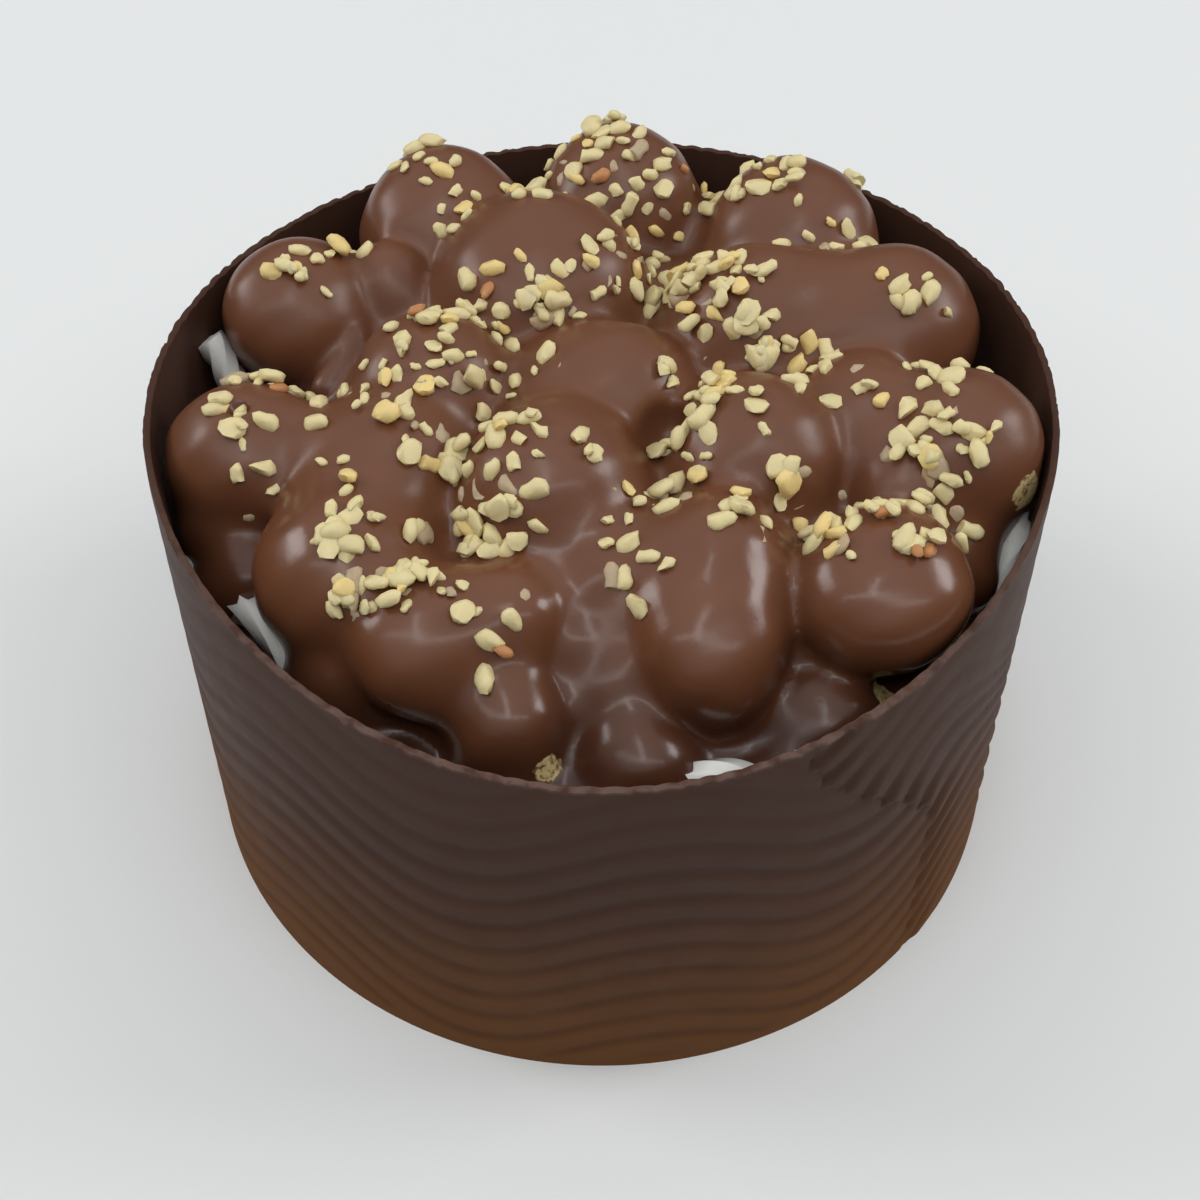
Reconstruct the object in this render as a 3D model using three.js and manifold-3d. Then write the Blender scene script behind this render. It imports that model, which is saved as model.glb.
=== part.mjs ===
// A round profiterole cake: cream inside a wrapped band of ribbed dark chocolate, heaped with choux
// puffs under poured milk chocolate, and strewn with chopped hazelnuts.
// Millimetres, +Z up. The origin is the middle of the flat underside, and -Y is the front.

import * as THREE from 'three';
import { mergeVertices } from 'three/addons/utils/BufferGeometryUtils.js';
import loadManifold from 'manifold-3d';

const wasm = await loadManifold();
wasm.setup();

const { degToRad, lerp, smoothstep } = THREE.MathUtils;
const up = new THREE.Vector3(0, 0, 1);
const down = new THREE.Vector3(0, 0, -1);

// Driving dimensions
const cakeRadius = 100; // to the crests of the ribs
const bandThickness = 2.8;
const pieceGap = 0.3; // clearance between touching pieces
const fillingTop = 92;
const columnCount = 56; // steps round the band

// The rim: its mean height, and how far the wrapped band rises and falls on its way round
const rim = { mean: 117.5, tilt: 1.8, saddle: 5.4, twist: 1.0, dip: 1.4, roughness: 0.5 };

// The ribs run round the band in soft waves, one above the other
const rib = { pitch: 9.6, depth: 1.0, waves: 7, waveReach: 7.75, crestAngle: degToRad(-83) };

// The wrap's free end lies on its start along a line that leans to the left near the rim
const seam = { footAngle: -43, rimAngle: -66, bendFrom: 50, bendTo: 108, step: 0.7, fade: 22 };

// The pool of chocolate between the puffs: how softly it joins them, how high it stands, where it falls
// away, and how far out it reaches. Its slope corrects the distance to its tilted surface.
const pool = { blend: 16, middle: 115, edge: 93.5, fallFrom: 50, fallTo: 86, rim: 94.5, slope: 0.9 };

// Each puff: angle round the cake in degrees, reach from its axis, height of the centre, radius, its
// height as a share of its width, and how softly the chocolate joins it to the others
const outerPuffs = [
  [153, 80, 112.3, 18.1, 0.97, 9],
  [120, 77, 112.5, 20.8, 0.98, 9],
  [86, 77, 113, 19.8, 1, 9],
  [52, 76, 114, 20.6, 1, 9],
  [24, 74, 112, 19.6, 1, 13],
  [-10, 79, 115, 18.7, 1, 10],
  [-41.5, 78, 113.2, 18.8, 0.82, 8],
  [-71.8, 67.5, 107.4, 14.9, 1, 8],
  [-119.5, 74, 109.3, 13.8, 0.95, 9],
  [-139, 71, 112, 18.4, 0.95, 14],
  [-171, 79, 113, 17.8, 0.92, 10],
];
const innerPuffs = [
  [110, 43, 119, 24, 0.8, 8],
  [36, 42, 118, 19.6, 0.95, 14],
  [-5, 58, 115, 16.2, 1, 15],
  [-27, 37, 117, 19.2, 0.95, 9],
  [60, 4, 118.5, 17.2, 0.88, 12],
  [-111, 30, 118, 19.9, 0.95, 8],
  [-157, 50, 113, 17.8, 1, 15],
  [174, 38.5, 118, 17.4, 1, 12],
];
const lowPuffs = [
  [140, 66, 116, 9.8, 1, 5],
  [-156, 84, 98, 10.5, 1, 7],
  [-131, 84, 98, 10, 1, 9],
  [-104, 78, 101.5, 11.5, 1, 9],
  [-85, 82, 94.5, 10.3, 1, 6],
  [-57, 84, 92.5, 11, 1, 12],
];
// A puff with a larger radius than this gets more corners
const largeRadius = 12;

// Each thick run of chocolate between the puffs: its two ends, the radius at each, and how softly it joins
const runs = [
  [[4, -47, 112], [22, -46, 113.5], 12.5, 15.5, 12],
  [[22, -48, 112.5], [21.5, -58, 110.3], 15.2, 15, 9],
  [[-36, -62.5, 110.8], [-19, -59.5, 113], 13, 11.5, 7],
  [[-53.6, -46.6, 112], [-46, -19.5, 113], 16.5, 16.5, 9],
  [[-70, -14, 112.5], [-46, -19.5, 113], 12.5, 14.5, 9],
  [[34, 24.7, 117], [67.6, 30.1, 112], 17.5, 18, 7],
  [[-6, 4, 115], [-14, -24, 115], 13.5, 14, 9],
  [[57.8, -5, 115], [64.5, -22, 113.5], 14.5, 13, 7],
  [[76, -15, 110], [76, -36, 101], 13, 10, 7],
  [[20, 72, 104], [36, 64, 106], 13, 13, 7],
  [[1.5, -48, 112], [3, -66.5, 101.5], 9, 8.5, 5],
  [[3, -66.5, 101.5], [6, -79, 95], 8.5, 9, 5],
  [[-83, -16, 103], [-81, -22, 101.5], 11, 12, 7],
  [[-81.5, -36.9, 96.5], [-78, -33, 99], 7.5, 7, 5],
];

// How the heap is measured: the step sideways to a puff's edge, the share of the distance that is safe to
// go down at once, how close counts as touching, and the least thickness of chocolate over the filling
const search = { stride: 0.4, foldStride: 0.2, fall: 0.7, touch: 0.02, thinnest: 1.5 };

// Each fold of piped cream that stands against the band: angle, reach, height, half its length
const creamFolds = [
  [163, 91, 98, 10],
  [-161, 92, 95, 8],
  [-141, 91, 100, 11],
  [-80, 92, 95, 9],
  [-21, 92, 98, 9],
];
const creamFold = { across: 5, up: 9, room: 7, ruffle: 0.16, ruffles: 6 };

// Each strewing of nuts: from x, y to x, y, how wide it spreads, and how many of the largest lie in it
const strewings = [
  [-45, 72, -26, 62, 7, 5],
  [-13, 86, 14, 84, 8, 6],
  [0, 64, 22, 66, 4, 3],
  [33, 72, 52, 60, 7, 4],
  [42, 44, 64, 47, 4, 3],
  [62, 27, 75, 22, 5, 3],
  [-79, 36, -58, 46, 4, 3],
  [-25, 25, -13, 27, 5, 3],
  [-14, 20, 9, 36, 5, 7],
  [10, 40, 31, 12, 7, 12],
  [28, -6, 15, -16, 5, 5],
  [44, 9, 46, -13, 4, 4],
  [34, -18, 46, -26, 5, 2],
  [-45, 6, -17, 14, 5, 6],
  [-44, -6, -20, -3, 5, 6],
  [-41, -22, -15, -31, 6, 7],
  [-59, -3, -45, -20, 4, 3],
  [-84, -8, -68, -19, 5, 5],
  [-57, -30, -45, -38, 4, 3],
  [-54, -52, -38, -62, 6, 7],
  [-36, -52, -14, -50, 5, 5],
  [4, -42, 28, -42, 5, 5],
  [3, -56, 18, -64, 5, 2],
  [42, -38, 58, -38, 5, 5],
  [58, -46, 72, -38, 5, 5],
  [68, -4, 74, -28, 6, 8],
];
// Each nut: its least and greatest length, its width and thickness as shares of that, how unevenly it is
// chopped, how far it stands out as a share of its thickness, and how far apart two lie as a share of
// their lengths
const nut = {
  shortest: 3.8,
  longest: 5.8,
  width: 0.74,
  thickness: 0.63,
  raggedness: 0.2,
  proud: 0.17,
  apart: 0.69,
  tries: 12, // places tried for each nut before it is left out
};

const innerRadius = cakeRadius - bandThickness;
const roomRadius = innerRadius * Math.cos(Math.PI / columnCount) - pieceGap;
const fillingRadius = innerRadius - pieceGap;

// ---- Shared shaping ----

// A repeatable stream of numbers from 0 to 1
function seededRandom(seed) {
  let state = seed;
  return () => {
    state = (state + 0x6d2b79f5) | 0;
    let mixed = Math.imul(state ^ (state >>> 15), 1 | state);
    mixed = (mixed + Math.imul(mixed ^ (mixed >>> 7), 61 | mixed)) ^ mixed;
    return ((mixed ^ (mixed >>> 14)) >>> 0) / 4294967296;
  };
}

function solidFrom(geometry) {
  const bare = geometry.clone();
  bare.deleteAttribute('normal');
  bare.deleteAttribute('uv');
  const merged = mergeVertices(bare, 1e-4);
  return new wasm.Manifold(new wasm.Mesh({
    numProp: 3,
    vertProperties: new Float32Array(merged.attributes.position.array),
    triVerts: new Uint32Array(merged.index.array),
  }));
}

function geometryFrom(solid) {
  const { vertProperties, triVerts } = solid.getMesh();
  const geometry = new THREE.BufferGeometry();
  geometry.setAttribute('position', new THREE.Float32BufferAttribute(vertProperties, 3));
  geometry.setIndex(Array.from(triVerts));
  geometry.computeVertexNormals();
  return geometry;
}

// A closed ring whose section changes on its way round: outlineAt(angle) lists the section's corners
// as radius and height, going up the outside and down the inside
function ringGeometry(steps, outlineAt) {
  const positions = [];
  const index = [];
  for (let column = 0; column < steps; column += 1) {
    const angle = (column / steps) * 2 * Math.PI;
    const outline = outlineAt(angle);
    const corners = outline.length;
    for (const [radius, height] of outline) {
      positions.push(radius * Math.cos(angle), radius * Math.sin(angle), height);
    }
    const here = column * corners;
    const next = ((column + 1) % steps) * corners;
    for (let corner = 0; corner < corners; corner += 1) {
      const above = (corner + 1) % corners;
      index.push(here + corner, next + corner, here + above);
      index.push(here + above, next + corner, next + above);
    }
  }
  const geometry = new THREE.BufferGeometry();
  geometry.setAttribute('position', new THREE.Float32BufferAttribute(positions, 3));
  geometry.setIndex(index);
  return geometry;
}

// ---- The chocolate band ----

function rimHeight(angle) {
  return rim.mean + rim.tilt * Math.sin(angle) + rim.saddle * Math.cos(2 * angle)
    + rim.twist * Math.sin(2 * angle) - rim.dip * Math.sin(3 * angle);
}

// How far the overlapping end lifts the outside of the band, just right of the seam
function seamLift(angle, height) {
  const lean = smoothstep(height, seam.bendFrom, seam.bendTo);
  const edge = lerp(seam.footAngle, seam.rimAngle, lean);
  const past = THREE.MathUtils.euclideanModulo(THREE.MathUtils.radToDeg(angle) - edge, 360);
  return seam.step * Math.max(0, 1 - past / seam.fade);
}

function bandGeometry() {
  const bottomRow = -4;
  const topRow = 2 * Math.ceil((rim.mean + rim.saddle + rib.waveReach) / rib.pitch) + 2;
  const wall = ringGeometry(columnCount, (angle) => {
    const wave = rib.waveReach * Math.cos(rib.waves * (angle - rib.crestAngle));
    const outline = [];
    for (let row = bottomRow; row <= topRow; row += 1) {
      const height = wave + (row * rib.pitch) / 2;
      const groove = row % 2 === 0 ? 0 : rib.depth;
      outline.push([cakeRadius - groove + seamLift(angle, height), height]);
    }
    outline.push([innerRadius, outline[outline.length - 1][1]], [innerRadius, outline[0][1]]);
    return outline;
  });
  const random = seededRandom(7);
  const margin = 9;
  const keptHeight = ringGeometry(columnCount / 2, (angle) => {
    const top = rimHeight(angle) + rim.roughness * (2 * random() - 1);
    const [outside, inside] = [cakeRadius + margin, innerRadius - margin];
    return [[outside, 0], [outside, top], [inside, top], [inside, 0]];
  });
  return geometryFrom(solidFrom(wall).intersect(solidFrom(keptHeight)));
}

// ---- The heap: puffs and cream folds share out the room between them ----

function placed([angle, reach, height, radius, squash, blend], name) {
  const turn = degToRad(angle);
  const centre = new THREE.Vector3(reach * Math.cos(turn), reach * Math.sin(turn), height);
  return { name, centre, radius, halfHeight: radius * squash, blend };
}

function numbered(rows, prefix) {
  return rows.map((row, i) => placed(row, `${prefix}_${String(i + 1).padStart(2, '0')}`));
}

const puffs = [
  ...numbered(outerPuffs, 'profiterole_outer'),
  ...numbered(innerPuffs, 'profiterole_inner'),
  ...numbered(lowPuffs, 'profiterole_low'),
];

const softestFirst = [...puffs].sort((a, b) => b.blend - a.blend);

const folds = creamFolds.map(([angle, reach, height, halfLength]) => ({
  ...placed([angle, reach, height, creamFold.room, 1]),
  turn: degToRad(angle),
  halfLength,
}));

const heap = [...puffs, ...folds];

const thickRuns = runs.map(([from, to, firstRadius, lastRadius, blend]) => ({
  middle: new THREE.Line3(new THREE.Vector3(...from), new THREE.Vector3(...to)),
  firstRadius,
  lastRadius,
  blend,
}));

// The corners of a puff: how many round it, and how far out its rings lie as shares of the way
const largePuff = { around: 18, shares: [0.3, 0.56, 0.76, 0.9, 1] };
const smallPuff = { around: 12, shares: [0.45, 0.8, 1] };

// Distance to the outside of an ellipsoid, negative inside
function ellipsoidDistance(offset, halfX, halfY, halfZ) {
  const scaled = Math.hypot(offset.x / halfX, offset.y / halfY, offset.z / halfZ);
  const slope = Math.hypot(offset.x / halfX ** 2, offset.y / halfY ** 2, offset.z / halfZ ** 2);
  return slope > 0 ? (scaled * (scaled - 1)) / slope : -Math.min(halfX, halfY, halfZ);
}

function softMinimum(a, b, blend) {
  const near = Math.max(blend - Math.abs(a - b), 0) / blend;
  return Math.min(a, b) - (near ** 3 * blend) / 6;
}

function poolDistance(point) {
  const reach = Math.hypot(point.x, point.y);
  const level = lerp(pool.middle, pool.edge, smoothstep(reach, pool.fallFrom, pool.fallTo));
  return Math.max(pool.slope * (point.z - level), reach - pool.rim);
}

function runDistance({ middle, firstRadius, lastRadius }, point) {
  const share = middle.closestPointToPointParameter(point, true);
  const nearest = middle.at(share, new THREE.Vector3());
  return nearest.distanceTo(point) - lerp(firstRadius, lastRadius, share);
}

// Distance to the poured chocolate over all the puffs, negative inside
function glazeDistance(point) {
  let nearest = Infinity;
  const offset = new THREE.Vector3();
  for (const { centre, radius, halfHeight, blend } of softestFirst) {
    offset.subVectors(point, centre);
    const distance = ellipsoidDistance(offset, radius, radius, halfHeight);
    nearest = nearest === Infinity ? distance : softMinimum(nearest, distance, blend);
  }
  nearest = softMinimum(nearest, poolDistance(point), pool.blend);
  for (const run of thickRuns) nearest = softMinimum(nearest, runDistance(run, point), run.blend);
  return nearest;
}

// Distance to one ruffled fold of cream, which lies along the band
function foldDistance(fold, point) {
  const offset = new THREE.Vector3().subVectors(point, fold.centre);
  offset.applyAxisAngle(up, -fold.turn);
  const swell = 1 + creamFold.ruffle * Math.cos((creamFold.ruffles * offset.y) / fold.halfLength);
  return ellipsoidDistance(offset, creamFold.across * swell, fold.halfLength, creamFold.up * swell);
}

// How far a place lies beyond a piece's ball, seen from above, as its square
function power({ centre, radius }, x, y) {
  return (x - centre.x) ** 2 + (y - centre.y) ** 2 - radius ** 2;
}

// How far a place lies inside the upright cell of the room that belongs to a piece
function cellDepth(piece, { x, y }) {
  let depth = roomRadius - Math.hypot(x, y);
  const own = power(piece, x, y);
  for (const other of heap) {
    if (other === piece) continue;
    const apart = Math.hypot(other.centre.x - piece.centre.x, other.centre.y - piece.centre.y);
    depth = Math.min(depth, (power(other, x, y) - own) / (2 * apart) - pieceGap / 2);
  }
  return depth;
}

// The height of the poured chocolate at x, y, or of the filling where there is none
function glazeHeight(x, y) {
  const point = new THREE.Vector3(x, y, 2 * rim.mean);
  let distance = glazeDistance(point);
  while (distance > search.touch && point.z > fillingTop) {
    point.z -= search.fall * distance;
    distance = glazeDistance(point);
  }
  return Math.max(point.z, fillingTop);
}

// A puff without its nuts: rings of corners on the chocolate, out to the edge of its cell or to where
// the chocolate ends, over a flat underside that rests on the filling
function barePuff(puff) {
  const { around, shares } = puff.radius > largeRadius ? largePuff : smallPuff;
  const { stride, thinnest } = search;
  const floor = fillingTop + pieceGap;
  const { x: middleX, y: middleY } = puff.centre;
  const positions = [middleX, middleY, glazeHeight(middleX, middleY)];
  const edge = [];
  for (let step = 0; step < around; step += 1) {
    const angle = (step / around) * 2 * Math.PI;
    const place = (reach) => ({ x: middleX + reach * Math.cos(angle), y: middleY + reach * Math.sin(angle) });
    const belongs = ({ x, y }) => cellDepth(puff, { x, y }) > 0 && glazeHeight(x, y) > floor + thinnest;
    let reach = stride;
    while (belongs(place(reach + stride))) reach += stride;
    edge.push(shares.map((share) => place(reach * share)));
  }
  shares.forEach((_, ring) => {
    for (const { x, y } of edge.map((places) => places[ring])) positions.push(x, y, glazeHeight(x, y));
  });
  for (const { x, y } of edge.map((places) => places.at(-1))) positions.push(x, y, floor);
  positions.push(middleX, middleY, floor);
  const rings = shares.length + 1;
  const last = 1 + rings * around;
  const index = [];
  for (let step = 0; step < around; step += 1) {
    const next = (step + 1) % around;
    index.push(0, 1 + step, 1 + next);
    for (let ring = 0; ring + 1 < rings; ring += 1) {
      const inner = 1 + ring * around;
      const outer = inner + around;
      index.push(inner + step, outer + step, inner + next, inner + next, outer + step, outer + next);
    }
    index.push(last, last - around + next, last - around + step);
  }
  const geometry = new THREE.BufferGeometry();
  geometry.setAttribute('position', new THREE.Float32BufferAttribute(positions, 3));
  geometry.setIndex(index);
  const piece = new THREE.Mesh(geometry);
  piece.userData.puff = puff;
  return piece;
}

const barePuffs = puffs.map(barePuff);

// ---- The cream filling ----

// A ruffled fold, with a corner in each direction of a ball, as far from its middle as it still belongs
function foldGeometry(fold) {
  const geometry = new THREE.SphereGeometry(1, 10, 6).rotateX(Math.PI / 2);
  const corners = geometry.attributes.position;
  const direction = new THREE.Vector3();
  const point = new THREE.Vector3();
  const { foldStride } = search;
  for (let i = 0; i < corners.count; i += 1) {
    direction.fromBufferAttribute(corners, i);
    const place = (reach) => point.copy(fold.centre).addScaledVector(direction, reach);
    let reach = foldStride;
    while (cellDepth(fold, place(reach)) > 0 && foldDistance(fold, place(reach)) < 0) reach += foldStride;
    place(reach - foldStride);
    corners.setXYZ(i, point.x, point.y, point.z);
  }
  return geometry;
}

function creamGeometry() {
  const core = new THREE.CylinderGeometry(fillingRadius, fillingRadius, fillingTop, columnCount);
  core.rotateX(Math.PI / 2).rotateZ(Math.PI / 2).translate(0, 0, fillingTop / 2);
  let cream = solidFrom(core);
  for (const fold of folds) cream = cream.add(solidFrom(foldGeometry(fold)));
  return geometryFrom(cream);
}

// ---- The chopped hazelnuts ----

// One angular crumb, lying flat along its own X and Y
function nutGeometry(random, length) {
  const crumb = new THREE.BoxGeometry(length, length * nut.width, length * nut.thickness);
  crumb.deleteAttribute('normal');
  crumb.deleteAttribute('uv');
  const chopped = mergeVertices(crumb, 1e-4);
  const corners = chopped.attributes.position;
  for (let i = 0; i < corners.count; i += 1) {
    const bite = 1 - nut.raggedness + 2 * nut.raggedness * random();
    corners.setXYZ(i, corners.getX(i) * bite, corners.getY(i) * bite, corners.getZ(i) * bite);
  }
  return chopped;
}

// Lets one nut fall on the puffs, and returns it where it lies clear of every other nut and node
function droppedNut(random, [x1, y1, x2, y2, spread], lying) {
  const along = random();
  const aside = 2 * Math.PI * random();
  const off = spread * Math.sqrt(random());
  const length = lerp(nut.shortest, nut.longest, random());
  const geometry = nutGeometry(random, length).rotateZ(2 * Math.PI * random());
  const above = new THREE.Vector3(
    lerp(x1, x2, along) + off * Math.cos(aside),
    lerp(y1, y2, along) + off * Math.sin(aside),
    2 * rim.mean,
  );
  const [landing] = new THREE.Raycaster(above, down).intersectObjects(barePuffs);
  if (!landing) return null;
  const { normal } = landing.face;
  geometry.applyQuaternion(new THREE.Quaternion().setFromUnitVectors(up, normal));
  const centre = landing.point.addScaledVector(normal, nut.proud * length * nut.thickness);
  geometry.translate(centre.x, centre.y, centre.z);
  const { puff } = landing.object.userData;
  const corners = geometry.attributes.position;
  const corner = new THREE.Vector3();
  for (let i = 0; i < corners.count; i += 1) {
    if (cellDepth(puff, corner.fromBufferAttribute(corners, i)) < pieceGap) return null;
  }
  const isNear = (other) => other.centre.distanceTo(centre) < nut.apart * (other.length + length);
  return lying.some(isNear) ? null : { puff, centre, length, geometry };
}

function strewnNuts() {
  const random = seededRandom(21);
  const lying = [];
  for (const strewing of strewings) {
    let wanted = strewing[5];
    for (let attempt = 0; wanted > 0 && attempt < nut.tries * strewing[5]; attempt += 1) {
      const fallen = droppedNut(random, strewing, lying);
      if (fallen) {
        lying.push(fallen);
        wanted -= 1;
      }
    }
  }
  return lying;
}

// ---- The cake ----

const cake = new THREE.Group();

function addPiece(name, geometry, color, roughness) {
  const piece = new THREE.Mesh(geometry, new THREE.MeshStandardMaterial({ color, roughness, metalness: 0 }));
  piece.name = name;
  cake.add(piece);
}

addPiece('chocolate_band', bandGeometry(), 0x3d2e2b, 0.5);
addPiece('cream_filling', creamGeometry(), 0xe4e2d8, 0.6);

const nuts = strewnNuts();
for (const { geometry, userData } of barePuffs) {
  let solid = solidFrom(geometry);
  for (const fallen of nuts) {
    if (fallen.puff === userData.puff) solid = solid.add(solidFrom(fallen.geometry));
  }
  addPiece(userData.puff.name, geometryFrom(solid), 0x6b4536, 0.3);
}

export default cake;
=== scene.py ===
import math
import random

import bmesh
import bpy
import numpy as np
from mathutils import Matrix, Vector
from mathutils.bvhtree import BVHTree


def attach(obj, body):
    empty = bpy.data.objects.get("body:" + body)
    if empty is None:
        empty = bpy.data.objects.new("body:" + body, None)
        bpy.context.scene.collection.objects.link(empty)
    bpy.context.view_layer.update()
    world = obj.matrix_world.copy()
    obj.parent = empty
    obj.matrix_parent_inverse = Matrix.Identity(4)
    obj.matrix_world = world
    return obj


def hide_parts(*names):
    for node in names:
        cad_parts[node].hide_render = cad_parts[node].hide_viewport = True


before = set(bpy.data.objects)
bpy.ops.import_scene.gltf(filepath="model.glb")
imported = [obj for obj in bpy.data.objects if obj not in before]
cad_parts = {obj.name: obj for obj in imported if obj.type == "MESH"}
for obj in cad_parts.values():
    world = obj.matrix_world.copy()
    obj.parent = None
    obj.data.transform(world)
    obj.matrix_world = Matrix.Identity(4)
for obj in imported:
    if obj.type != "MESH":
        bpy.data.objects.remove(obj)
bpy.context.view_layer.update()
MM = 0.001


# ---- The table and the daylight ----
# A pale matt table under soft light that is brightest overhead, with a few bright panels that the poured
# chocolate mirrors. The lens looks down on the cake from arm's length.

TABLE_SIDE = 1.3
TABLE_COLOUR = (0.76, 0.775, 0.77, 1)
SKY_TOP = (0.98, 0.99, 1.0, 1)
SKY_EDGE = (0.05, 0.05, 0.052, 1)
SKY_STRENGTH = 0.94
SKY_BRIGHTEST = 1.05  # how far up the sky would reach its full brightness, where 1 is overhead
# Each panel: its place, its two sides and its power
PANELS = [
    ((0.00, -1.15, 2.00), (4.60, 0.18), 9.8),
    ((-0.05, -0.60, 2.10), (0.20, 1.10), 3.6),
    ((-1.70, 0.45, 0.95), (0.70, 0.70), 9.5),
    ((1.75, 0.35, 0.95), (0.70, 0.70), 10.5),
]
LENS = 60.0
CAMERA_PLACE = Vector((0.0, -0.32555, 0.42377))
CAMERA_AIM = Vector((-0.00087, 0.65779, -0.75320))
CAMERA_ROLL = math.radians(0.17)


def flat_mesh(name, corners):
    mesh = bpy.data.meshes.new(name)
    mesh.from_pydata(corners, [], [range(len(corners))])
    made = bpy.data.objects.new(name, mesh)
    bpy.context.collection.objects.link(made)
    return made


class Value:
    """A socket of a node tree. Sums, products and powers of it add the tree's Math nodes."""

    def __init__(self, tree, socket=None):
        self.tree = tree
        self.socket = socket

    def node(self, kind, settings=None, sockets=None, output=0):
        """A new node: its settings first, then the values or links of its sockets."""
        made = self.tree.nodes.new(kind)
        for name, setting in (settings or {}).items():
            setattr(made, name, setting)
        for key, value in (sockets or {}).items():
            if isinstance(value, Value):
                self.tree.links.new(value.socket, made.inputs[key])
            else:
                made.inputs[key].default_value = value
        return Value(self.tree, made.outputs[output])

    def output(self, name):
        return Value(self.tree, self.socket.node.outputs[name])

    def math(self, operation, *operands):
        return self.node("ShaderNodeMath", {"operation": operation}, dict(enumerate(operands)))

    def between(self, low, high):
        """0 up to low, 1 from high on, and smooth from one to the other."""
        settings = {"interpolation_type": "SMOOTHSTEP"}
        return self.node("ShaderNodeMapRange", settings, {0: self, 1: low, 2: high, 3: 0.0, 4: 1.0})

    def __add__(self, other):
        return self.math("ADD", self, other)

    def __radd__(self, other):
        return self.math("ADD", other, self)

    def __sub__(self, other):
        return self.math("SUBTRACT", self, other)

    def __rsub__(self, other):
        return self.math("SUBTRACT", other, self)

    def __mul__(self, other):
        return self.math("MULTIPLY", self, other)

    def __rmul__(self, other):
        return self.math("MULTIPLY", other, self)

    def __truediv__(self, other):
        return self.math("DIVIDE", self, other)

    def __pow__(self, other):
        return self.math("POWER", self, other)


def new_material(name, **constants):
    """A material, the start of its nodes, and its shader; constants are set on the shader's own sockets."""
    material = bpy.data.materials.new(name)
    material.use_nodes = True
    shader = material.node_tree.nodes["Principled BSDF"]
    for socket, value in constants.items():
        shader.inputs[socket.replace("_", " ")].default_value = value
    return material, Value(material.node_tree), shader


def feed(value, shader, socket):
    value.tree.links.new(value.socket, shader.inputs[socket])


def colour_mix(share, first, second):
    """The first colour where share is 0 and the second where it is 1."""
    return share.node("ShaderNodeMix", {"data_type": "RGBA"}, {0: share, 6: first, 7: second}, 2)


def noise(place, scale, detail=2.0):
    """Soft random patches from 0 to 1, scale of them to the metre."""
    return place.node("ShaderNodeTexNoise", {}, {"Vector": place, "Scale": scale, "Detail": detail})


def bump(height, strength, distance):
    return height.node("ShaderNodeBump", {}, {"Strength": strength, "Distance": distance, "Height": height})


half = TABLE_SIDE / 2
table = flat_mesh("table", [(-half, -half, 0), (half, -half, 0), (half, half, 0), (-half, half, 0)])
table_paint, _, _ = new_material("matt table", Base_Color=TABLE_COLOUR, Roughness=0.9)
table.data.materials.append(table_paint)

world = bpy.data.worlds.new("daylight")
world.use_nodes = True
sky = world.node_tree.nodes["Background"]
sky.inputs["Strength"].default_value = SKY_STRENGTH
way = Value(world.node_tree).node("ShaderNodeTexCoord", {}, {}, "Generated")
height = way.node("ShaderNodeSeparateXYZ", {}, {0: way}, "Z")
feed(colour_mix(height.between(0.0, SKY_BRIGHTEST), SKY_EDGE, SKY_TOP), sky, "Color")
bpy.context.scene.world = world

for number, (place, sides, power) in enumerate(PANELS):
    light = bpy.data.lights.new(f"panel {number}", "AREA")
    light.shape = "RECTANGLE"
    light.size, light.size_y = sides
    light.energy = power
    panel = bpy.data.objects.new(light.name, light)
    panel.location = place
    panel.rotation_euler = (-Vector(place)).to_track_quat("-Z", "Y").to_euler()
    bpy.context.collection.objects.link(panel)

camera = bpy.data.objects.new("camera", bpy.data.cameras.new("camera"))
camera.data.lens = LENS
camera.data.clip_start = 0.01
roll = Matrix.Rotation(CAMERA_ROLL, 4, CAMERA_AIM)
turned = roll @ CAMERA_AIM.to_track_quat("-Z", "Y").to_matrix().to_4x4()
camera.matrix_world = Matrix.Translation(CAMERA_PLACE) @ turned
bpy.context.collection.objects.link(camera)
bpy.context.scene.camera = camera
bpy.context.scene.view_settings.view_transform = "Standard"


# ---- The chocolate band ----
# One strip of dark chocolate, spread on a ribbed sheet and wrapped round the cake while it was soft. The
# ribs run round in waves, the free end laps over the start in front, and the rim has broken unevenly.

# "Lap" is the height of the step. Just past it the waves surge higher and, near the rim, are shifted round
BAND = {
    "Radius": 100 * MM,
    "Thickness": 2.8 * MM,
    "Rib pitch": 9.6 * MM,
    "Rib depth": 0.6 * MM,
    "Wave reach": 7.75 * MM,
    "Waves": 7.0,
    "Wave wander": 2.2 * MM,
    "Crest angle": math.radians(-83),
    "Inside wander": 0.3 * MM,
    "Lap": 0.65 * MM,
    "Lap groove": 0.6 * MM,
    "Lap foot angle": math.radians(-43),
    "Lap rim angle": math.radians(-66),
    "Lap fade": math.radians(22),
    "Lap surge": 7.5 * MM,
    "Lap shift": math.radians(12),
    "Rim height": 117.5 * MM,
    "Rim scallop": 0.96 * MM,
    "Rim wander": 1.2 * MM,
    "Rim chip": 0.7 * MM,
    "Rim thinning": 1.2 * MM,
    "Rim rounding": 0.2 * MM,
}
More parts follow.
